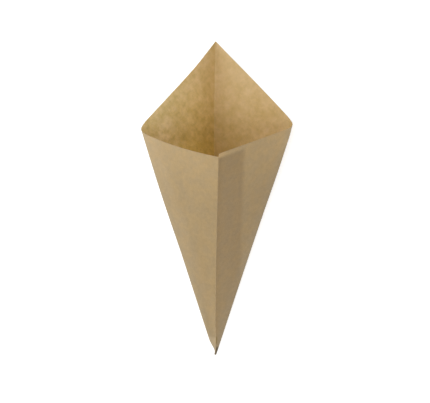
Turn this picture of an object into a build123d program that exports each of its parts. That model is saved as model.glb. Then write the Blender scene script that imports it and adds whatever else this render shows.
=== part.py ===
from build123d import *
from math import cos, radians, sin, sqrt
import os

# French fry bag: a pointed bag made from one square sheet of kraft paper. The sheet is folded
# on its diagonal, which becomes the tall back crease. One edge is turned round the front crease
# as a narrow lap and the opposite edge is glued over it, ending on the crease.
# The bag is opened and lies on its flat back right panel: tip to -Y, mouth to +Y, Z up.

# The sheet, in millimetres and degrees
sheet_side = 178.0
sheet_corner_angle = 90.0
paper_thickness = 0.2
lap_width = 25.4
rim_step = 2.8  # how far the glued-on edge stands above the lap at the mouth

# How far the bag is opened, and where its sides bend on the flat paper
mouth_angle = 27.34  # between the front and the back crease
left_bend_angle = 23.42  # from the front crease
right_bend_angle = 24.29
left_spare_angle = 0.97  # by this much more a sharp corner would stand out, on both its sides,
right_spare_angle = 1.17  # than the rounded bend that the same paper makes

# Bends and bowed panels as they are at the mouth, all shrinking towards the tip
side_bend_reach = 14.7  # a bend starts this far from where its sharp corner would be
back_crease_reach = 0.6
side_bend_faces = 6  # a bend is this many faces side by side
crease_faces = 2
front_left_bow = 4.1  # outwards
back_left_bow = 3.3  # inwards

# The tip, where the layers are pinched together, and the seam's margins
tip_loss = 2.5  # from the sheet's sharp corner to the end of the paper
tip_plug = 1.5  # paper below the hollow
seam_start = 10.0  # the outer layer is a layer of its own from here upwards
seam_overlap = 1.0  # where the outer layer comes down beside the lap
lap_rise = 0.1  # the lap's rim stands this much above the front left rim
overrun = 8.0  # raw panels and cutting shapes run past the paper by this much
flattening = 0.3  # the two right panels are drawn this much too full, then cut flat

# The bag is drawn upright, its axis on Z and the sheet's sharp corner at the origin.
half_mouth = radians(mouth_angle / 2)
half_corner = radians(sheet_corner_angle / 2)
left_bend = radians(left_bend_angle)
right_bend = radians(right_bend_angle)


def corner_direction(bend, spare, side):
    """Where a bend's sharp corner points: wider than the paper's own angles by the spare."""
    front_cosine = cos(bend + spare)
    back_cosine = cos(half_corner - bend + spare)
    z = (front_cosine + back_cosine) / (2 * cos(half_mouth))
    y = (back_cosine - front_cosine) / (2 * sin(half_mouth))
    return Vector(side * sqrt(1 - y**2 - z**2), y, z)


front = Vector(0, -sin(half_mouth), cos(half_mouth))
back = Vector(0, sin(half_mouth), cos(half_mouth))
left = corner_direction(left_bend, radians(left_spare_angle), -1)
right = corner_direction(right_bend, radians(right_spare_angle), 1)
mouth_height = sheet_side * front.Z


def at_height(direction, height):
    """The point of a crease or bend at one height."""
    return direction * (height / direction.Z)


mouth_front, mouth_left, mouth_back, mouth_right = [
    at_height(direction, mouth_height) for direction in (front, left, back, right)
]


def half_angle(corner, before, after):
    """Half of the angle that the outline makes at a sharp corner."""
    return radians((before - corner).get_angle(after - corner)) / 2


half_left_corner = half_angle(mouth_left, mouth_front, mouth_back)
half_back_corner = half_angle(mouth_back, mouth_left, mouth_right)
half_right_corner = half_angle(mouth_right, mouth_back, mouth_front)


def inner_reach(reach, half_corner_angle, inset):
    """The reach that keeps the paper's thickness in the middle of a bend."""
    return reach - 2 * inset * (1 / sin(half_corner_angle) - 1) / cos(half_corner_angle)


def folded_outline(height, inset):
    """The outline of the folded sheet at one height, its bends tighter by an inset."""
    share = height / mouth_height
    corners = [
        at_height(direction, height) - Vector(0, 0, height)
        for direction in (front, left, back, right, front)
    ]
    left_reach, back_reach, right_reach = [
        share * inner_reach(reach, corner_angle, inset)
        for reach, corner_angle in (
            (side_bend_reach, half_left_corner),
            (back_crease_reach, half_back_corner),
            (side_bend_reach, half_right_corner),
        )
    ]
    reaches = (0, left_reach, back_reach, right_reach, 0)
    bows = (front_left_bow, -back_left_bow, flattening, flattening)
    faces_of_bends = (side_bend_faces, crease_faces, side_bend_faces)
    with BuildSketch(Plane.XY.offset(height)) as outline:
        with BuildLine():
            sides = []
            for corner, bow in enumerate(bows):
                side = SagittaArc(
                    corners[corner], corners[corner + 1], bow * share, mode=Mode.PRIVATE
                )
                sides.append(
                    side.trim(
                        reaches[corner] / side.length, 1 - reaches[corner + 1] / side.length
                    )
                )
            for side in sides:
                add(side)
            for before, after, faces in zip(sides, sides[1:], faces_of_bends):
                # A bend touches both its sides where it leaves them.
                across = (before % 1).cross(after % 0).Z
                run = ((after @ 0) - (before @ 1)).cross(after % 0).Z / across
                bend = Bezier(
                    before @ 1, (before @ 1) + (before % 1) * run, after @ 0, mode=Mode.PRIVATE
                )
                for face in range(faces):
                    ThreePointArc(*[bend @ ((face + part) / faces) for part in (0, 1 / 2, 1)])
        make_face()
    return outline.sketch


# The hollow has the outline's shape and sits in it by the paper's thickness: its sharp corner
# is where the front panels and the back panels meet once each is moved inwards.
front_normal = front.cross(left).normalized()
back_normal = left.cross(back).normalized()
spread = front_normal.Y * back_normal.Z - back_normal.Y * front_normal.Z
hollow_corner = Vector(
    0,
    paper_thickness * (back_normal.Z - front_normal.Z) / spread,
    paper_thickness * (front_normal.Y - back_normal.Y) / spread,
)
if hollow_corner.Z < 0:
    hollow_corner = -hollow_corner

diagonal = sheet_side / cos(half_corner)
raw_height = diagonal * back.Z + overrun

# The two flat panels. The seam's plane has X up the front crease and Y across to the bend.
seam = Plane(origin=(0, 0, 0), x_dir=front, z_dir=front.cross(right))
underside = Plane(origin=(0, 0, 0), x_dir=back, z_dir=right.cross(back))

with BuildPart() as hollow:
    sections = [
        folded_outline(height, paper_thickness)
        for height in (tip_loss + tip_plug - hollow_corner.Z, raw_height)
    ]
    loft(sections, ruled=True)
    split(bisect_by=seam)
    split(bisect_by=underside)


# The rim: the sheet's two far edges, straight on the flat paper
def rounded_off(corner, half_corner_angle):
    """The middle of a side bend, at the height of the mouth."""
    inwards = (mouth_front - corner).normalized() + (mouth_back - corner).normalized()
    return corner + inwards.normalized() * (side_bend_reach * cos(half_corner_angle) / 2)


def bowed_middle(start, end, bow):
    """The middle of a bowed panel at the height of the mouth; a positive bow is outwards."""
    outwards = Vector(0, 0, 1).cross(end - start).normalized()
    middle = (start + end) * (1 / 2)
    if outwards.dot(middle) < 0:
        outwards = -outwards
    return middle + outwards * bow


def left_rim_point(point, angle_from_front):
    """Where the line from the sheet's corner through a point reaches the left rim."""
    return point.normalized() * (sheet_side / cos(angle_from_front))


def right_rim_point(point, angle_from_front):
    """The same on the right, where the rim starts higher up the front crease."""
    run = sheet_side * cos(angle_from_front) + rim_step * sin(angle_from_front)
    return point.normalized() * ((sheet_side + rim_step) * sheet_side / run)


def from_front(point):
    """The angle on the flat paper between the front crease and a point of a front panel."""
    return radians(front.get_angle(point))


def from_back(point):
    """The same angle for a point of a back panel, found from the back crease."""
    return half_corner - radians(back.get_angle(point))


front_left = bowed_middle(mouth_front, mouth_left, front_left_bow)
back_left = bowed_middle(mouth_left, mouth_back, -back_left_bow)
front_right = bowed_middle(mouth_front, mouth_right, 0)
back_right = bowed_middle(mouth_right, mouth_back, 0)

front_rim = front * sheet_side
outer_front_rim = front * (sheet_side + rim_step)
back_rim = back * diagonal
left_rim = left_rim_point(rounded_off(mouth_left, half_left_corner), left_bend)
front_left_rim = left_rim_point(front_left, from_front(front_left))
back_left_rim = left_rim_point(back_left, from_back(back_left))
right_rim = right_rim_point(rounded_off(mouth_right, half_right_corner), right_bend)
front_right_rim = right_rim_point(front_right, from_front(front_right))
back_right_rim = right_rim_point(back_right, from_back(back_right))


def rim_cut(start, end, third):
    """The plane of three rim points, from below the first round to below the second."""
    rim_plane = Plane(origin=start, x_dir=end - start, z_dir=(end - start).cross(third - start))
    centre = Vector(0, 0, start.dot(rim_plane.z_dir) / rim_plane.z_dir.Z)
    with BuildSketch(rim_plane) as cut:
        with BuildLine():
            Polyline(
                rim_plane.to_local_coords(centre),
                rim_plane.to_local_coords(centre + (start - centre) * 2),
                rim_plane.to_local_coords(centre + (end - centre) * 2),
                close=True,
            )
        make_face()
    return cut.sketch


outwards = -paper_thickness
slope = rim_step / sheet_side

# The front right panel is flat up to this point at the mouth, then it bends.
flat_end = mouth_right + (mouth_front - mouth_right).normalized() * side_bend_reach
flat_slope = seam.to_local_coords(flat_end).Y / seam.to_local_coords(flat_end).X

with BuildPart() as upright:
    sections = [folded_outline(height, 0) for height in (tip_loss, raw_height)]
    loft(sections, ruled=True)
    split(bisect_by=seam)
    split(bisect_by=underside)
    with Locations(hollow_corner):
        add(hollow.part, mode=Mode.SUBTRACT)

    rim_cuts = (
        rim_cut(front_rim, left_rim, front_left_rim),
        rim_cut(left_rim, back_rim, back_left_rim),
        rim_cut(back_rim, right_rim, back_right_rim),
        rim_cut(right_rim, outer_front_rim, front_right_rim),
    )
    for cut in rim_cuts:
        extrude(cut, amount=raw_height, dir=(0, 0, 1), mode=Mode.SUBTRACT)

    # The lap's own rim is lower than the edge that is glued over it.
    with BuildSketch(seam):
        with BuildLine():
            Polyline(
                (sheet_side + lap_rise, -overrun),
                (sheet_side + lap_rise, lap_width - seam_overlap),
                (sheet_side + overrun, lap_width - seam_overlap),
                (sheet_side + overrun, -overrun),
                close=True,
            )
        make_face()
    extrude(amount=-2 * outwards, mode=Mode.SUBTRACT)

    # The outer layer, carried by the lap
    with BuildSketch(seam):
        with BuildLine():
            Polyline(
                (seam_start, 0),
                (sheet_side + rim_step, 0),
                (sheet_side + rim_step - lap_width * slope, lap_width),
                (lap_width / flat_slope, lap_width),
                (seam_start, seam_start * flat_slope),
                close=True,
            )
        make_face()
    extrude(amount=outwards)

# Laid down on the back right panel
up = underside.z_dir
axis = Vector(0, 0, 1)
floor = Plane(origin=(0, 0, 0), x_dir=(axis - up * axis.dot(up)).cross(up), z_dir=up)
lying = floor.to_local_coords(upright.part)
box = lying.bounding_box()

with BuildPart() as fry_bag:
    with Locations((-box.center().X, -box.center().Y, -box.min.Z)):
        add(lying)

os.makedirs("parts", exist_ok=True)
fry_bag.part.label = "fry_bag"
export_step(fry_bag.part, "parts/fry_bag.step")
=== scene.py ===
import math
import bpy
import numpy as np
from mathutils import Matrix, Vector, noise


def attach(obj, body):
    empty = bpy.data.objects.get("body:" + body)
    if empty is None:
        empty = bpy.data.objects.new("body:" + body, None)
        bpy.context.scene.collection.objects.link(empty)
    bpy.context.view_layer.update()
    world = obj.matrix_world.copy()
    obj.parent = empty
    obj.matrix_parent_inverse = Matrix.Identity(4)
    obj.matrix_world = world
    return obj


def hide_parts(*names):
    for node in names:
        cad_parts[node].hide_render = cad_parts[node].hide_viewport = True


# An open French fry bag: one sheet of kraft paper, folded to a point and glued down its front.
# It lies on its flat back right side, tip to -Y and mouth to +Y.

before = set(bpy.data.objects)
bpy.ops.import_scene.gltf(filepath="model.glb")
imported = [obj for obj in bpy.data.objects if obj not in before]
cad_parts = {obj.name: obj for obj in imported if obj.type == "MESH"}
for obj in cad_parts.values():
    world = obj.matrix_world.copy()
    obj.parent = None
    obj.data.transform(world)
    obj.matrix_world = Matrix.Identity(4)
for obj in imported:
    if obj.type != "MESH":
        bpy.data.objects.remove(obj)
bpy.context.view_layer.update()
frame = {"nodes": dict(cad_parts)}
bpy.ops.object.select_all(action="DESELECT")
print("frame loaded:", ", ".join(frame["nodes"]))

# the sheet and its folds, lengths in metres

sheet = {
    "side": 0.178,
    "lapWidth": 0.0254,
    "rimStep": 0.0028,        # the glued-on edge ends this much above the lap
    "rimFullness": 0.0005,    # how much the far right edge bulges
    "thickness": 0.0002,
    "tipLoss": 0.0025,        # the paper starts this far from its sharp corner
    "corner": (0.0024234, -0.1262213, 0.0),  # where that corner lies
    "mouthAngle": 27.34,      # degrees between the front and the back crease
    "leftBend": 23.42,        # degrees from the front crease, on the flat paper
    "rightBend": 24.29,
    "leftSpare": 0.97,        # a sharp corner would stand out by this much more on both sides
    "rightSpare": 1.17,
    "frontLeftBow": 0.0041,   # at the mouth, outwards
    "backLeftBow": -0.0029,
    "backLeftSway": 0.0008,   # this panel is fuller near the left bend, hollower near the crease
    "swayLean": 1.35,         # above 1, it changes over beyond the panel's middle
    "leftSoftness": 0.0147,   # half the length over which a side bend turns, at the mouth
    "rightSoftness": 0.0147,
    "creaseSoftness": 0.0009,
    "softTo": 1.1,            # so many softnesses from its corner a bend is still fully rounded,
    "softEnd": 2.6,           # and from here on it isn't
}
diagonal = 45                 # degrees, the sheet is folded on it
halfMouth = math.radians(sheet["mouthAngle"] / 2)


def cornerDirection(fromFront, spare, side):
    # where the sharp corner of a side bend would point, with the bag upright
    frontCosine = math.cos(math.radians(fromFront + spare))
    backCosine = math.cos(math.radians(diagonal - fromFront + spare))
    z = (frontCosine + backCosine) / (2 * math.cos(halfMouth))
    y = (backCosine - frontCosine) / (2 * math.sin(halfMouth))
    return Vector((side * math.sqrt(1 - y * y - z * z), y, z))


uprightFolds = {
    "front": Vector((0, -math.sin(halfMouth), math.cos(halfMouth))),
    "left": cornerDirection(sheet["leftBend"], sheet["leftSpare"], -1),
    "back": Vector((0, math.sin(halfMouth), math.cos(halfMouth))),
    "right": cornerDirection(sheet["rightBend"], sheet["rightSpare"], 1),
}

# laid down: the plane of the back crease and the right bend becomes the table
up = uprightFolds["right"].cross(uprightFolds["back"]).normalized()
axis = Vector((0, 0, 1))
forward = (axis - up * axis.dot(up)).normalized()
rightward = forward.cross(up)


def layDown(v):
    return Vector((v.dot(rightward), v.dot(forward), v.dot(up)))


corner = Vector(sheet["corner"])
folds = {name: layDown(v) for name, v in uprightFolds.items()}
bagAxis = layDown(axis)
mouthHeight = sheet["side"] * math.cos(halfMouth)

# the outline of the folded paper at the height of the front rim, as a dense open path
# front crease -> left bend -> back crease -> right bend -> front crease
order = ["front", "left", "back", "right", "front"]
bows = [sheet["frontLeftBow"], sheet["backLeftBow"], 0, 0]
sways = [0, sheet["backLeftSway"], 0, 0]
panelPoints = 900
sectionCorners = [folds[name] * (mouthHeight / folds[name].dot(bagAxis)) for name in order]
path = []
for start, end, bow, sway in zip(sectionCorners, sectionCorners[1:], bows, sways):
    outwards = bagAxis.cross(end - start).normalized()
    for k in range(panelPoints):
        u = k / panelPoints
        rise = bow * 4 * u * (1 - u) + sway * math.sin(2 * math.pi * u ** sheet["swayLean"])
        path.append(start.lerp(end, u) + outwards * rise)
path.append(sectionCorners[-1])
path = np.array(path)
steps = np.linalg.norm(np.diff(path, axis=0), axis=1)
pathLength = np.concatenate([[0], np.cumsum(steps)])
cornerLength = pathLength[::panelPoints]
middles = (path[1:] + path[:-1]) / 2
pathSum = np.concatenate([[[0, 0, 0]], np.cumsum(middles * np.diff(pathLength)[:, None], axis=0)])


def along(values, s):
    # the outline's place, or the sum of its places, at a length along it
    return np.array([np.interp(s, pathLength, values[:, k]) for k in range(3)])


def smooth(low, high, x):
    # 0 at low, 1 at high, soft at both ends; low may be the larger one
    t = min(max((x - low) / (high - low), 0), 1)
    return t * t * (3 - 2 * t)


def hump(x, start, end, power=1.0):
    # 0 at the start and the end, 1 in the middle
    return math.sin(math.pi * min(max((x - start) / (end - start), 0), 1)) ** power


def softPoint(s):
    # paper doesn't turn in a sharp corner: each point is the mean of a stretch of the outline
    shortest = 0.00001  # below this there is no stretch to speak of
    reach = 0.0
    for k, name in ((1, "leftSoftness"), (2, "creaseSoftness"), (3, "rightSoftness")):
        away = abs(s - cornerLength[k]) / sheet[name]
        reach = max(reach, sheet[name] * (1 - smooth(sheet["softTo"], sheet["softEnd"], away)))
    if reach < shortest:
        return along(path, s)
    return (along(pathSum, s + reach) - along(pathSum, s - reach)) / (2 * reach)


def spread(start, end, coarse, fineStart, fineEnd, growth=1.35):
    # positions from start to end: fine steps at both ends that grow to coarse ones
    left, right = [start], [end]
    stepLeft, stepRight = fineStart, fineEnd
    while right[-1] - left[-1] > stepLeft + stepRight:
        if stepLeft <= stepRight:
            left.append(left[-1] + stepLeft)
            stepLeft = min(stepLeft * growth, coarse)
        else:
            right.append(right[-1] - stepRight)
            stepRight = min(stepRight * growth, coarse)
    return left + right[::-1]


# the mesh's columns run from the tip to the rim; widths at the height of the front rim
columns = {
    "coarse": 0.002,
    "crease": 0.0003,
    "bend": 0.0006,
    "beside": 0.0002,         # a column's normal comes from the outline this far to either side
}
stops = []
for k in range(len(bows)):
    fineStart, fineEnd = ("crease", "bend") if k % 2 == 0 else ("bend", "crease")
    stops += spread(cornerLength[k], cornerLength[k + 1], columns["coarse"],
                    columns[fineStart], columns[fineEnd])[:-1]
stops.append(cornerLength[4])

directions, normals = [], []
for s in stops:
    here = Vector(softPoint(s)).normalized()
    before = Vector(softPoint(max(s - columns["beside"], 0))).normalized()
    after = Vector(softPoint(min(s + columns["beside"], cornerLength[4]))).normalized()
    directions.append(here)
    normals.append(here.cross(after - before).normalized())

# angles on the flat paper, from its edge at the front crease round to its other edge there
turned = [0.0]
for a, b in zip(directions, directions[1:]):
    turned.append(turned[-1] + a.angle(b))
wholeTurn = 2 * diagonal
foldAngles = np.radians([0, sheet["leftBend"], diagonal, wholeTurn - sheet["rightBend"], wholeTurn])
flatAngles = np.interp(turned, np.interp(cornerLength, stops, turned), foldAngles)
paperDegrees = round(math.degrees(turned[-1]), 2)
print("sheet outline:", len(stops), "columns,", paperDegrees, "degrees of paper")


def towards(vectors, flat):
    # the sheet's direction or normal at any angle on the flat paper
    parts = [np.interp(flat, flatAngles, [v[k] for v in vectors]) for k in range(3)]
    return Vector(parts).normalized()


def rimRadius(flat):
    # how far the rim is from the sheet's corner
    side, step = sheet["side"], sheet["rimStep"]
    if flat <= foldAngles[2]:
        return side / math.cos(flat)
    fromFront = foldAngles[4] - flat
    straight = (side + step) * side / (side * math.cos(fromFront) + step * math.sin(fromFront))
    return straight + sheet["rimFullness"] * hump(flat, foldAngles[2], foldAngles[3])


# small unevenness that handling leaves in the paper

waves = {
    "height": 0.0005,
    "length": 0.045,
    "fineShare": 0.35,        # how high the smaller waves are
    "fineLengthShare": 0.37,
    "clearOfFold": 0.014,
    "growTo": 1.2,            # they grow with the distance from the tip up to so many sheet sides
    "broadFrom": (3.1, 7.7, 1.3),  # where the noise is read
    "fineFrom": (9.2, 0.4, 5.5),
}


def wave(flat, r, place):
    nearFold = min(abs(flat - a) for a in foldAngles) * r
    fade = smooth(0, waves["clearOfFold"], nearFold) * min(r / sheet["side"], waves["growTo"])
    fineLength = waves["length"] * waves["fineLengthShare"]
    broad = noise.noise(place / waves["length"] + Vector(waves["broadFrom"]))
    fine = noise.noise(place / fineLength + Vector(waves["fineFrom"]))
    height = waves["height"] * fade * (broad + waves["fineShare"] * fine)
    if foldAngles[2] < flat < foldAngles[3]:
        return -abs(height)  # this side lies on the table
    return height


# no fold is quite straight: each drifts sideways by so much, between two distances from the
# sheet's corner, and the last number says how sharply it swells there
drift = {
    "front": (0.0008, 0, 0.178, 0.8),            # to the left
    "frontLow": (0.0006, 0.007, 0.030, 1.0),     # to the right, just above the tip
    "left": (0.00085, 0.090, 0.196, 1.2),        # outwards, above the middle
    "right": (0.0003, 0.005, 0.155, 1.5),        # inwards, below the middle
    "rightUpper": (0.0003, 0.125, 0.197, 1.5),   # outwards
    "back": (0.0011, 0.100, 0.2505, 1.0),        # to the left, below its peak
}
backDriftWidth = 0.022        # the drift of the back crease ends this far from it
# the right bend goes in at the rim, and the tip is pressed in from the left
rimCorner = {"inwards": 0.0006, "from": 0.186, "full": 0.197}
pinch = {"inwards": 0.0013, "from": 0.0026, "full": 0.0062, "fullTo": 0.008, "end": 0.016}


def drifting(name, r):
    amount, start, end, power = drift[name]
    return amount * hump(r, start, end, power)


def drifted(flat, r):
    # the folds' own shifts, fading from each fold across the panels beside it
    towardsLeft = (folds["left"] - folds["front"]).normalized()
    frontShift = towardsLeft * (drifting("front", r) - drifting("frontLow", r))
    pinched = smooth(pinch["end"], pinch["fullTo"], r) * smooth(pinch["from"], pinch["full"], r)
    leftShift = Vector((pinch["inwards"] * pinched - drifting("left", r), 0, 0))
    atCorner = smooth(rimCorner["from"], rimCorner["full"], r)
    rightDrift = drifting("rightUpper", r) - drifting("right", r)
    rightShift = Vector((rightDrift - rimCorner["inwards"] * atCorner, 0, 0))
    shifts = [frontShift, leftShift, Vector(), rightShift, frontShift]
    shift = Vector([np.interp(flat, foldAngles, [v[k] for v in shifts]) for k in range(3)])
    fromBack = abs(flat - foldAngles[2]) * r
    shift.x -= drifting("back", r) * smooth(backDriftWidth, 0, fromBack)
    return shift


tip = {
    "squeezed": 0.35,         # the share of its height that is left at its end
    "squeezeTop": 0.012,      # it has its whole height this far from the sheet's corner
}


def squeeze(r):
    return tip["squeezed"] + (1 - tip["squeezed"]) * smooth(sheet["tipLoss"], tip["squeezeTop"], r)


seam = {
    "start": 0.0095,          # the lap starts this far from the sheet's sharp corner
    "layerGap": 0.00003,      # between the lap and the outer layer
    "comeDown": 0.0055,       # beside the lap the outer layer comes down over this width
    "bendFrom": 0.0008,       # it is down this close to the right bend,
    "bendFull": 0.0034,       # and up from here
    "lapClear": 0.0012,       # low down the lap ends this far before the bend,
    "lapClearShare": 0.012,   # and by this share of the distance from the tip
    "edgeLift": 0.0003,       # the outer edge stands off near the mouth
    "edgeWidth": 0.004,
    "edgeFrom": 0.12,
    "edgeFull": 0.18,
    "mergeWithin": 0.000004,  # points of the lap and of the sheet this close become one
}


def seamLift(flat, r):
    # the outer layer lies on the lap, then comes down to the level of the lap beside it
    fromFront = foldAngles[4] - flat
    across = r * math.sin(fromFront)
    beforeBend = r * (foldAngles[4] - foldAngles[3] - fromFront)
    onLap = 1 - smooth(sheet["lapWidth"], sheet["lapWidth"] + seam["comeDown"], across)
    onLap *= smooth(seam["bendFrom"], seam["bendFull"], beforeBend)
    atEdge = smooth(seam["edgeWidth"], 0, r * fromFront) * smooth(seam["edgeFrom"], seam["edgeFull"], r)
    return (sheet["thickness"] + seam["layerGap"]) * onLap + seam["edgeLift"] * atEdge


# where the paper looks doubled, which the outside's paint darkens as painted shade: over the lap, up to
# its rim and its far edge
doubledPaper = {"aboveRim": 0.0003, "belowRim": 0.0009, "edgeBlur": 0.0024, "pastBend": 0.02}


def doubledAt(flat, r):
    if flat <= foldAngles[3] - doubledPaper["pastBend"]:
        return 0
    fromFront = foldAngles[4] - flat
    rimTop = sheet["side"] + doubledPaper["aboveRim"]
    rimLow = sheet["side"] - doubledPaper["belowRim"]
    edge, blur = sheet["lapWidth"], doubledPaper["edgeBlur"]
    belowRim = smooth(rimTop, rimLow, r * math.cos(fromFront))
    return belowRim * (1 - smooth(edge - blur, edge + blur, r * math.sin(fromFront)))


# the mesh's rows, from the tip to the rim, closer together at the tip
rows = {"count": 104, "evenShare": 0.28, "power": 1.5}
rowShare = []
for k in range(rows["count"]):
    u = k / (rows["count"] - 1)
    rowShare.append(rows["evenShare"] * u + (1 - rows["evenShare"]) * u ** rows["power"])


def newGrid(name, across, upwards):
    bpy.ops.mesh.primitive_grid_add(x_subdivisions=across - 1, y_subdivisions=upwards - 1, size=1)
    grid = bpy.context.object
    grid.name = name
    grid.data.name = name
    cells = []
    for v in grid.data.vertices:
        cells.append((round((v.co.x + 0.5) * (across - 1)), round((v.co.y + 0.5) * (upwards - 1))))
    return grid, cells


def keep(grid, flatPlaces, doubled, rimDistance):
    # the flat sheet as UV, and what the paper's colour depends on as attributes
    uv = grid.data.uv_layers.active
    uv.name = "flatSheet"
    for loop in grid.data.loops:
        uv.data[loop.index].uv = flatPlaces[loop.vertex_index]
    for name, values in (("doubled", doubled), ("rimDistance", rimDistance)):
        layer = grid.data.attributes.new(name, "FLOAT", "POINT")
        layer.data.foreach_set("value", values)


def foldBag():
    grid, cells = newGrid("fryBagPaper", len(stops), rows["count"])
    flatPlaces, doubled, rimDistance = [], [], []
    for v, (column, row) in zip(grid.data.vertices, cells):
        column = len(stops) - 1 - column  # so that the faces point outwards
        flat, direction, normal = flatAngles[column], directions[column], normals[column]
        fromFront = foldAngles[4] - flat
        rim = rimRadius(flat)
        r = sheet["tipLoss"] + rowShare[row] * (rim - sheet["tipLoss"])
        place = corner + direction * r
        lift = wave(flat, r, place)
        if flat > foldAngles[3]:
            lift += seamLift(flat, r)
        v.co = place + normal * lift + drifted(flat, r)
        v.co.z *= squeeze(r)
        flatPlaces.append((r * math.cos(flat), r * math.sin(flat)))
        doubled.append(doubledAt(flat, r))
        rimDistance.append((rim - r) * math.cos(min(flat, fromFront)))
    keep(grid, flatPlaces, doubled, rimDistance)
    return grid


bag = foldBag()
print("sheet folded:", len(bag.data.vertices), "points")

# the lap, turned round the front crease and glued inside the right panel

lapColumns = {"coarse": 0.08, "crease": 0.012, "edge": 0.05}  # widths, as shares of the lap's


def foldLap():
    rowRadius = [sheet["tipLoss"] + share * (sheet["side"] - sheet["tipLoss"]) for share in rowShare]
    rowRadius = [r for r in rowRadius if r > seam["start"]]
    acrossShare = spread(0, 1, lapColumns["coarse"], lapColumns["crease"], lapColumns["edge"])
    grid, cells = newGrid("fryBagLap", len(acrossShare), len(rowRadius))
    bend = math.radians(sheet["rightBend"])
    flatPlaces, doubled, rimDistance = [], [], []
    for v, (column, row) in zip(grid.data.vertices, cells):
        upCrease = rowRadius[row]
        clear = seam["lapClear"] + seam["lapClearShare"] * upCrease
        across = acrossShare[column] * min(sheet["lapWidth"], upCrease * math.tan(bend) - clear)
        r = math.hypot(upCrease, across)
        flat = foldAngles[4] - math.atan2(across, upCrease)
        direction, normal = towards(directions, flat), towards(normals, flat)
        place = corner + direction * r
        lift = wave(flat, r, place) if column else 0
        v.co = place + normal * lift + drifted(flat, r)
        v.co.z *= squeeze(r)
        flatPlaces.append((upCrease, -across))
        doubled.append(1)
        rimDistance.append(sheet["side"] - upCrease)
    keep(grid, flatPlaces, doubled, rimDistance)
    return grid


lap = foldLap()
bpy.ops.object.select_all(action="DESELECT")
lap.select_set(True)
bag.select_set(True)
bpy.context.view_layer.objects.active = bag
bpy.ops.object.join()
bpy.ops.object.mode_set(mode="EDIT")
bpy.ops.mesh.select_all(action="SELECT")
bpy.ops.mesh.remove_doubles(threshold=seam["mergeWithin"])
bpy.ops.mesh.select_all(action="DESELECT")
bpy.ops.object.mode_set(mode="OBJECT")
print("lap joined:", len(bag.data.vertices), "points")


class Wire:
    # a socket with arithmetic on it
    def __init__(self, paint, socket):
        self.paint = paint
        self.socket = socket

    def combined(self, operation, first, second):
        return self.paint.wire("ShaderNodeMath", {"operation": operation}, {0: first, 1: second})

    def __add__(self, other):
        return self.combined("ADD", self, other)

    __radd__ = __add__

    def __mul__(self, other):
        return self.combined("MULTIPLY", self, other)

    __rmul__ = __mul__

    def __sub__(self, other):
        return self.combined("SUBTRACT", self, other)

    def __rsub__(self, other):
        return self.combined("SUBTRACT", other, self)

    def __truediv__(self, other):
        return self.combined("DIVIDE", self, other)


class Paint:
    # the nodes of one material, or of the world
    def __init__(self, owner):
        self.owner = owner
        owner.use_nodes = True
        self.tree = owner.node_tree
        self.tree.nodes.clear()

    def node(self, kind, settings, sockets):
        made = self.tree.nodes.new(kind)
        for key, value in settings.items():
            setattr(made, key, value)
        for key, value in sockets.items():
            if isinstance(value, Wire):
                self.tree.links.new(value.socket, made.inputs[key])
            else:
                made.inputs[key].default_value = value
        return made

    def wire(self, kind, settings, sockets, output=0):
        return Wire(self, self.node(kind, settings, sockets).outputs[output])

    def attribute(self, name):
        return self.wire("ShaderNodeAttribute", {"attribute_name": name}, {}, "Fac")

    def stretched(self, source, scale, turn):
        return self.wire("ShaderNodeMapping", {"vector_type": "POINT"}, {
            "Vector": source, "Scale": scale, "Rotation": (0, 0, turn)})

    def noise(self, vector, scale, roughness, detail=2.0):
        return self.wire("ShaderNodeTexNoise", {}, {
            "Vector": vector, "Scale": scale, "Detail": detail, "Roughness": roughness}, "Fac")

    def between(self, value, low, high):
        # 0 at low, 1 at high, soft at both ends; low may be the larger one
        return self.wire("ShaderNodeMapRange", {"interpolation_type": "SMOOTHSTEP"}, {
            "Value": value, "From Min": low, "From Max": high})

    def within(self, value, ends):
        # 0 at the first end, 1 at the second; with four ends 1 up to the third, 0 from the fourth
        amount = self.between(value, ends[0], ends[1])
        if len(ends) == 4:
            amount = amount * self.between(value, ends[3], ends[2])
        return amount

    def along(self, vector, direction):
        # how far a place lies along a direction
        return self.wire("ShaderNodeVectorMath", {"operation": "DOT_PRODUCT"}, {
            0: vector, 1: direction}, "Value")

    def length(self, vector):
        return self.wire("ShaderNodeVectorMath", {"operation": "LENGTH"}, {0: vector}, "Value")

    def scaled(self, colour, factor):
        return self.wire("ShaderNodeVectorMath", {"operation": "SCALE"}, {
            0: colour, "Scale": factor})

    def mix(self, factor, first, second, blend="MIX"):
        # of this node's sockets, 6, 7 and output 2 are the colours
        settings = {"data_type": "RGBA", "blend_type": blend, "clamp_factor": True}
        return self.wire("ShaderNodeMix", settings, {0: factor, 6: first, 7: second}, 2)

    def tinted(self, colour, tints, place):
        # each tint multiplies the colour on the parts and between the distances that it names
        for tint in tints.values():
            amounts = [place[name] for name in tint["on"]]
            amounts += [self.within(place[name], ends) for name, ends in tint["over"].items()]
            colour = self.mix(math.prod(amounts), colour, rgba(tint["colour"]), "MULTIPLY")
        return colour

    def finish(self, colour, roughness, bump, look):
        normal = self.wire("ShaderNodeBump", {}, {
            "Height": bump, "Strength": look["bump"], "Distance": look["bumpHeight"]})
        shader = self.wire("ShaderNodeBsdfPrincipled", {}, {
            "Base Color": colour, "Roughness": roughness, "Normal": normal,
            "IOR": look["ior"], "Specular IOR Level": look["specular"]})
        self.node("ShaderNodeOutputMaterial", {}, {"Surface": shader})
        return self.owner


def rgba(colour):
    return (*colour, 1)


# long thin fibres, most of them along the sheet's run

fibreSets = {
    "run": {"perMetre": (260, 1500, 1), "turn": 0.12, "roughness": 0.6, "strength": 0.6},
    "cross": {"perMetre": (1300, 300, 1), "turn": -0.5, "roughness": 0.6, "strength": 0.4},
}


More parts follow.
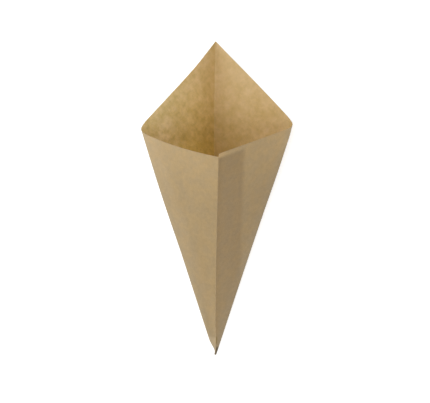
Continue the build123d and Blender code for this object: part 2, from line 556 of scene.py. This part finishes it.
def unevenness(paint, flatPlace, look):
    # fibres and noise of several sizes, each around zero, and their sum
    fibres = {}
    for name, kind in fibreSets.items():
        stretched = paint.stretched(flatPlace, kind["perMetre"], kind["turn"])
        fibres[name] = paint.noise(stretched, 1.0, kind["roughness"]) * kind["strength"]
    layers = {"fibres": fibres["run"] + fibres["cross"] - 0.5}
    total = layers["fibres"] * look["fibres"]
    for name, (scale, roughness, strength) in look["noises"].items():
        layers[name] = paint.noise(flatPlace, scale, roughness) - 0.5
        total = total + layers[name] * strength
    return layers, total


def placesOn(paint, flatPlace, creaseBlur):
    # distances on the flat sheet: from its sharp corner, from its two edges at the front crease,
    # and from each other fold, where the left half and the back panels are positive
    leftBend, crease, rightBend = foldAngles[1:4]
    place = {
        "corner": paint.length(flatPlace),
        "front": paint.along(flatPlace, (0, 1, 0)),
        "seam": paint.along(flatPlace, (1, 0, 0)),
        "leftBend": paint.along(flatPlace, (-math.sin(leftBend), math.cos(leftBend), 0)),
        "crease": paint.along(flatPlace, (math.sin(crease), -math.cos(crease), 0)),
        "rightBend": paint.along(flatPlace, (math.sin(rightBend), -math.cos(rightBend), 0)),
    }
    # the angle from the front crease, as a sine, and parts of the sheet, 1 on them and 0 beside
    place["angle"] = place["front"] / place["corner"]
    place["left"] = paint.between(place["crease"], -creaseBlur, creaseBlur)
    place["right"] = 1 - place["left"]
    place["doubled"] = paint.attribute("doubled")
    place["single"] = 1 - place["doubled"]
    return place


# the paper's colours, linear. A noise has its scale per metre, its roughness and its strength.
# A tint is a factor on the parts named after "on" and over the distances that follow, in metres,
# or over an angle's sine.

outside = {
    "base": (0.472, 0.337, 0.172),
    "grey": (0.97, 0.985, 1.01),        # the tones that clouds of fibre vary between
    "gold": (1.025, 1.015, 0.975),
    "hueNoise": (120, 0.5),
    "hueOver": (0.35, 0.65),
    # painted light: deep, leftRise, rightRise and bendRise paint the paper paler towards the rim
    "deep": 0.96,                       # share of the colour well below the rim
    "leftRise": 0.17,                   # how much paler the paper gets up to the rim
    "rightRise": 0.16,
    "riseOver": (0.052, -0.005),        # distances from the rim
    "bendRise": 0.8,                    # so much more of it near the right bend
    "bendRiseOver": (-0.035, -0.008),
    "fibres": 0.18,
    "noises": {"fine": (900, 0.7, 0.18), "cloud": (330, 0.5, 0.22), "broad": (75, 0.5, 0.09)},
    "creaseBlur": 0.002,
    "endSlant": 0.003,                  # the squeezed end is dark from higher up on the right
    "roughness": 0.62,
    "fibreRoughness": 0.25,             # how much the fibres change it
    "bump": 0.35,
    "bumpHeight": 0.0002,
    "fibreBump": 0.6,
    "cloudBump": 0.4,
    "ior": 1.45,
    "specular": 0.4,
    "tints": {
        # painted light: paler on the left panel near the front crease, where the bowed panel catches
        # more light
        "leftCreaseLight": {"colour": (1.07, 1.06, 1.04), "on": ["left"],
                       "over": {"angle": (0.26, 0.0)}},
        # painted shade, low down in the middle of the front left panel
        "leftMiddleShade": {"colour": (0.95, 0.94, 0.92), "on": ["left"],
                       "over": {"angle": (0.06, 0.13, 0.25, 0.33), "corner": (0.120, 0.060)}},
        # painted sheen: a paler, greyer strip beside the left bend, on the front panel
        "leftPaleSheen": {"colour": (1.05, 1.06, 1.10), "on": [],
                     "over": {"leftBend": (-0.024, -0.014, -0.012, -0.004)}},
        # painted light: the right half a little lighter, and lighter still low down towards the tip
        "rightHalfLight": {"colour": (1.03, 1.02, 1.04), "on": ["right"], "over": {}},
        "rightLowLight": {"colour": (1.11, 1.13, 1.14), "on": ["right"],
                     "over": {"corner": (0.125, 0.010)}},
        # painted sheen: greyer and bluer along the side bends, where the paper turns away
        "leftBend": {"colour": (0.96, 1.01, 1.12), "on": [],
                     "over": {"leftBend": (-0.014, -0.001, 0.001, 0.014)}},
        "rightBend": {"colour": (1.00, 1.06, 1.20), "on": [],
                      "over": {"rightBend": (-0.014, -0.001, 0.001, 0.014)}},
        # painted shade: two layers let less light through
        "doubled": {"colour": (0.875, 0.855, 0.845), "on": ["doubled"], "over": {}},
        "rightTop": {"colour": (0.99, 0.98, 0.94), "on": ["right"],
                     "over": {"corner": (0.135, 0.175)}},
        # painted shade beside the front crease, on the doubled paper
        "rightCreaseShade": {"colour": (0.95, 0.93, 0.89), "on": ["doubled"],
                        "over": {"seam": (0.006, 0.0)}},
        # painted highlight on the outer layer's own corner, where it stands proud
        "topCornerHighlight": {"colour": (1.16, 1.13, 1.10), "on": ["right", "single"],
                      "over": {"seam": (0.009, 0.002), "corner": (0.170, 0.176)}},
        # painted light on paper crumpled just above the end, left of the crease, and painted shade
        # where it is folded right of it
        "tipFacetLight": {"colour": (1.20, 1.23, 1.33), "on": ["left"],
                     "over": {"corner": (0.0202, 0.0172), "leftBend": (0.002, 0.0)}},
        "tipFoldShade": {"colour": (0.74, 0.70, 0.50), "on": ["right"],
                    "over": {"seam": (0.0022, 0.0006), "corner": (0.0115, 0.0145, 0.0180, 0.0210)}},
        # painted shade: the squeezed end is dark
        "tipEndShade": {"colour": (0.40, 0.37, 0.31), "on": [], "over": {"end": (0.0078, 0.0050)}},
    },
}


def outsidePaper():
    paint = Paint(bpy.data.materials.new("kraftOutside"))
    flatPlace = paint.wire("ShaderNodeUVMap", {"uv_map": "flatSheet"}, {})
    place = placesOn(paint, flatPlace, outside["creaseBlur"])
    place["end"] = place["corner"] - place["right"] * outside["endSlant"]
    layers, uneven = unevenness(paint, flatPlace, outside)

    # painted light: paler towards the rim, for the light that comes through the paper from the mouth
    rise = paint.within(paint.attribute("rimDistance"), outside["riseOver"])
    nearBend = paint.within(place["rightBend"], outside["bendRiseOver"])
    rightRise = place["right"] * place["single"] * (nearBend * outside["bendRise"] + 1)
    rise = rise * (place["left"] * outside["leftRise"] + rightRise * outside["rightRise"])

    hue = paint.within(paint.noise(flatPlace, *outside["hueNoise"]), outside["hueOver"])
    colour = paint.mix(hue, rgba(outside["grey"]), rgba(outside["gold"]))
    colour = paint.mix(1, colour, rgba(outside["base"]), "MULTIPLY")
    colour = paint.scaled(colour, (rise + outside["deep"]) * (uneven + 1))
    colour = paint.tinted(colour, outside["tints"], place)
    roughness = layers["fibres"] * outside["fibreRoughness"] + outside["roughness"]
    bump = layers["fibres"] * outside["fibreBump"] + layers["cloud"] * outside["cloudBump"]
    return paint.finish(colour, roughness, bump, outside)


inside = {
    "base": (0.775, 0.535, 0.236),
    "pale": (1.01, 1.025, 1.14),
    "golden": (0.99, 0.975, 0.84),
    "blotchHue": 3.0,                   # how far blotches and broad clouds change the tone
    "broadHue": 2.0,
    "fibres": 0.18,
    "noises": {"fine": (850, 0.7, 0.18), "cloud": (400, 0.6, 0.34), "blotch": (160, 0.55, 0.60),
               "broad": (64, 0.5, 0.30)},
    "rightShare": 0.68,                 # the right panel is this much more even than the left
    "calmTop": 0.36,                    # and the paper gets more even towards the peak
    "calmOver": (0.180, 0.230),
    "creaseBlur": 0.001,
    "roughness": 0.60,
    "blotchRoughness": 0.3,
    "bump": 0.3,
    "bumpHeight": 0.0002,
    "fibreBump": 0.5,
    "blotchBump": 0.5,
    "ior": 1.45,
    "specular": 0.4,
    "tints": {
        # painted light: paler towards the left bend, for light that comes through the paper there
        "leftBend": {"colour": (1.10, 1.20, 1.25), "on": [], "over": {"crease": (0.015, 0.062)}},
        # painted shade, deeper and more golden, low down beside the back crease on both sides, for
        # light bounced inside the bag
        "deep": {"colour": (1.03, 1.02, 0.70), "on": ["left"],
                 "over": {"crease": (0.052, 0.018), "corner": (0.235, 0.160)}},
        "deepRightShade": {"colour": (0.91, 0.92, 0.83), "on": ["right"],
                      "over": {"crease": (-0.052, -0.026), "corner": (0.220, 0.170)}},
        # painted light just above the front left rim, and there, away from the crease
        "leftLow": {"colour": (1.06, 1.09, 1.07), "on": ["left"],
                    "over": {"corner": (0.180, 0.166)}},
        "leftLowFar": {"colour": (1.09, 1.11, 1.12), "on": [],
                       "over": {"crease": (0.028, 0.038), "corner": (0.178, 0.166)}},
        # painted shade where that panel bows inwards most
        "leftHollowShade": {"colour": (0.94, 0.93, 0.88), "on": [],
                       "over": {"crease": (0.008, 0.014, 0.034, 0.044),
                                "corner": (0.171, 0.179, 0.192, 0.206)}},
        # painted light: paler and bluer on the right panel towards the peak, away from the bend
        "rightTop": {"colour": (1.07, 1.11, 1.22), "on": ["right"],
                     "over": {"corner": (0.180, 0.225), "rightBend": (0.016, 0.050)}},
        # painted shade in the corner along the right bend
        "rightBend": {"colour": (0.93, 0.95, 0.97), "on": ["right"],
                      "over": {"rightBend": (0.040, 0.0)}},
        # painted shade: a darker band on the left beside the back crease
        "creaseShade": {"colour": (0.89, 0.885, 0.84), "on": ["left"],
                       "over": {"crease": (0.022, 0.008)}},
    },
}


def insidePaper():
    paint = Paint(bpy.data.materials.new("kraftInside"))
    flatPlace = paint.wire("ShaderNodeUVMap", {"uv_map": "flatSheet"}, {})
    place = placesOn(paint, flatPlace, inside["creaseBlur"])
    layers, uneven = unevenness(paint, flatPlace, inside)

    calm = 1 - paint.within(place["corner"], inside["calmOver"]) * inside["calmTop"]
    share = (place["left"] + place["right"] * inside["rightShare"]) * calm
    hue = layers["blotch"] * inside["blotchHue"] + layers["broad"] * inside["broadHue"]
    colour = paint.mix(hue * share + 0.5, rgba(inside["golden"]), rgba(inside["pale"]))
    colour = paint.mix(1, colour, rgba(inside["base"]), "MULTIPLY")
    colour = paint.scaled(colour, uneven * share + 1)
    colour = paint.tinted(colour, inside["tints"], place)
    roughness = layers["blotch"] * inside["blotchRoughness"] + inside["roughness"]
    bump = layers["fibres"] * inside["fibreBump"] + layers["blotch"] * inside["blotchBump"]
    return paint.finish(colour, roughness, bump, inside)


cutEdge = {
    "base": (0.56, 0.44, 0.27),
    "grain": (1500, 0.5),
    "grainShare": 0.5,                  # how much of the outside's colour shows in its grain
    "roughness": 0.85,
    "grainRoughness": 0.1,
    "bump": 0.2,
    "bumpHeight": 0.0001,
    "ior": 1.5,
    "specular": 0.5,
}


def edgePaper():
    paint = Paint(bpy.data.materials.new("kraftCutEdge"))
    flatPlace = paint.wire("ShaderNodeUVMap", {"uv_map": "flatSheet"}, {})
    grain = paint.noise(flatPlace, *cutEdge["grain"])
    shown = grain * cutEdge["grainShare"]
    colour = paint.mix(shown, rgba(cutEdge["base"]), rgba(outside["base"]))
    roughness = grain * cutEdge["grainRoughness"] + cutEdge["roughness"]
    return paint.finish(colour, roughness, grain, cutEdge)


for material in (outsidePaper(), insidePaper(), edgePaper()):
    bag.data.materials.append(material)
print("paper painted")

# the wall: outer skin as folded, inner skin one thickness inside it, cut edges between them

wall = {
    "offset": -1,             # all of it inwards
    "insideMaterial": 1,      # so many places after the outside's, in the bag's own list
    "edgeMaterial": 2,
    "smoothBelow": 40,        # degrees
}

solidify = bag.modifiers.new("paperThickness", "SOLIDIFY")
solidify.thickness = sheet["thickness"]
solidify.offset = wall["offset"]
solidify.use_even_offset = True
solidify.thickness_clamp = 0
solidify.material_offset = wall["insideMaterial"]
solidify.material_offset_rim = wall["edgeMaterial"]
bpy.ops.object.modifier_apply(modifier=solidify.name)
bpy.ops.object.shade_smooth_by_angle(angle=math.radians(wall["smoothBelow"]))
print("paper given its thickness:", len(bag.data.polygons), "faces")

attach(bag, "root")
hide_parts("fry_bag")

# table, lights and camera

stageSet = {
    "floorSize": 6.0,
    "floorPlace": (0, 0, -0.00015),  # just under the paper's waves
    "floorColour": (0.80, 0.80, 0.79),
    "floorGlow": 0.63,        # only for the camera: lifts the floor to white, the shadow stays
    "worldStrength": 0.51,    # for all but the camera, which sees plain white
    "lightSize": 1.0,
    "lights": {               # place and power
        "topLight": ((-0.55, -0.25, 1.7), 1.7),
        "rightLight": ((1.5, -0.4, 0.9), 4.8),
        "nearLight": ((0.3, -1.2, 1.2), 1.3),
        "leftLight": ((-1.2, 0.3, 1.2), 4.7),
        "lowLeftLight": ((-1.6, 0.0, 0.45), 11.2),
    },
}


def paleTable():
    paint = Paint(bpy.data.materials.new("paleTable"))
    isCamera = paint.wire("ShaderNodeLightPath", {}, {}, "Is Camera Ray")
    matte = paint.wire("ShaderNodeBsdfDiffuse", {}, {"Color": rgba(stageSet["floorColour"])})
    glow = paint.wire("ShaderNodeEmission", {}, {"Strength": isCamera * stageSet["floorGlow"]})
    both = paint.wire("ShaderNodeAddShader", {}, {0: matte, 1: glow})
    paint.node("ShaderNodeOutputMaterial", {}, {"Surface": both})
    return paint.owner


def paleRoom():
    paint = Paint(bpy.data.worlds.new("paleRoom"))
    isCamera = paint.wire("ShaderNodeLightPath", {}, {}, "Is Camera Ray")
    strength = isCamera * (1 - stageSet["worldStrength"]) + stageSet["worldStrength"]
    light = paint.wire("ShaderNodeBackground", {}, {"Color": (1, 1, 1, 1), "Strength": strength})
    paint.node("ShaderNodeOutputWorld", {}, {"Surface": light})
    return paint.owner


bpy.ops.mesh.primitive_plane_add(size=stageSet["floorSize"], location=stageSet["floorPlace"])
floor = bpy.context.object
floor.name = "table"
floor.data.materials.append(paleTable())
bpy.context.scene.world = paleRoom()

for name, (place, power) in stageSet["lights"].items():
    bpy.ops.object.light_add(type="AREA", location=place)
    lamp = bpy.context.object
    lamp.name = name
    lamp.data.shape = "DISK"
    lamp.data.size = stageSet["lightSize"]
    lamp.data.energy = power
    lamp.rotation_euler = (-Vector(place)).to_track_quat("-Z", "Y").to_euler()

view = {
    "place": (0.536292, 0.069175, 1.147076),
    "turn": (-0.4368, 25.7215, 6.4639),  # degrees
    "lens": 133.9535,
    "sensor": 36,
    "farthest": 20,
}
turn = [math.radians(angle) for angle in view["turn"]]
bpy.ops.object.camera_add(location=view["place"], rotation=turn)
camera = bpy.context.object
camera.data.sensor_fit = "HORIZONTAL"
camera.data.sensor_width = view["sensor"]
camera.data.lens = view["lens"]
camera.data.clip_end = view["farthest"]
bpy.context.scene.camera = camera
bpy.context.scene.view_settings.view_transform = "Standard"
print("stage, lights and camera set")
